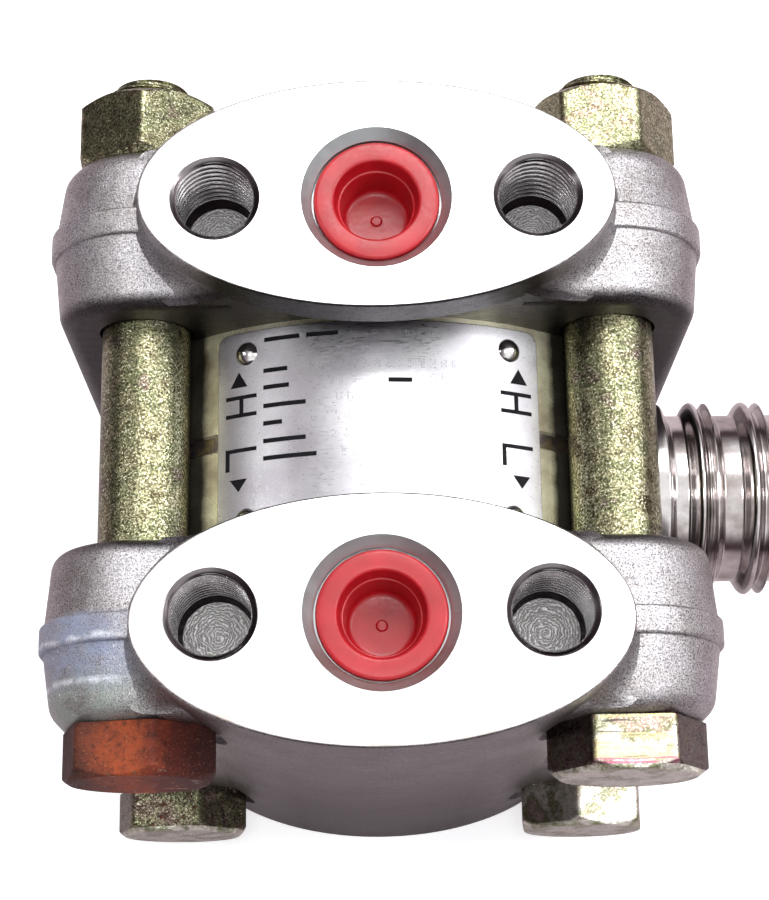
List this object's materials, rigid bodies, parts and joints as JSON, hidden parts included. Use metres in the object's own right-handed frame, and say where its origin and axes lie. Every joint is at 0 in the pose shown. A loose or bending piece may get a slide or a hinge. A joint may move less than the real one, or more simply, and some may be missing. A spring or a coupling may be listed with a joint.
{
  "type": "differential pressure transmitter",
  "caption": "Meter body of a differential pressure transmitter: process heads bolted round a welded cell, with push-in port plugs and a turned neck.",
  "frame": {"origin": "middle of the four tapped manifold mounting holes, on the plane of the process faces", "axes": "+Z out of the process faces, +Y towards the high-pressure head and the nuts, +X along the neck"},
  "size_m": [0.12, 0.0956, 0.1],
  "materials": {
    "cast_stainless": "cast stainless steel, grainy, boss faces machined",
    "machined_stainless": "machined stainless steel",
    "weld_bead": "weld bead",
    "turned_stainless": "turned and polished stainless steel",
    "yellow_zinc": "yellow chromate zinc plating, speckled, one head rusty",
    "red_plastic": "semi-gloss red moulding",
    "plate_steel": "brushed plate with black print",
    "rivet_steel": "bright domed",
    "diaphragm_foil": "thin corrugated foil",
    "gasket_polymer": "white fluoropolymer",
    "ball_steel": "polished ball",
    "header_alloy": "glass-sealed header",
    "gold_pin": "gold plated",
    "silicon": "polished silicon"
  },
  "bodies": {
    "meter_body": {"head_high": "cast_stainless", "head_low": "cast_stainless", "cell_half_high": "machined_stainless", "cell_half_low": "machined_stainless", "girth_weld": "weld_bead", "neck_weld": "weld_bead", "neck": "turned_stainless", "bolt_front_left": "yellow_zinc", "bolt_front_right": "yellow_zinc", "bolt_back_left": "yellow_zinc", "bolt_back_right": "yellow_zinc", "nut_front_left": "yellow_zinc", "nut_front_right": "yellow_zinc", "nut_back_left": "yellow_zinc", "nut_back_right": "yellow_zinc", "vent_plug_high": "machined_stainless", "vent_plug_low": "machined_stainless", "nameplate": "plate_steel", "nameplate_rivets": "rivet_steel", "barrier_diaphragm_high": "diaphragm_foil", "barrier_diaphragm_low": "diaphragm_foil", "overload_diaphragm": "diaphragm_foil", "head_gasket_high": "gasket_polymer", "head_gasket_low": "gasket_polymer", "fill_ball_high": "ball_steel", "fill_ball_low": "ball_steel", "sensor_header": "header_alloy", "header_pins": "gold_pin", "sensor_chip": "silicon"},
    "plug_high": {"port_plug_high": "red_plastic"},
    "plug_low": {"port_plug_low": "red_plastic"}
  },
  "joints": [
    {"name": "plug_high_pull", "type": "slide", "parent": "meter_body", "child": "plug_high", "axis": [0, 0, 1], "range_m": [0, 0.02]},
    {"name": "plug_low_pull", "type": "slide", "parent": "meter_body", "child": "plug_low", "axis": [0, 0, 1], "range_m": [0, 0.02]}
  ]
}
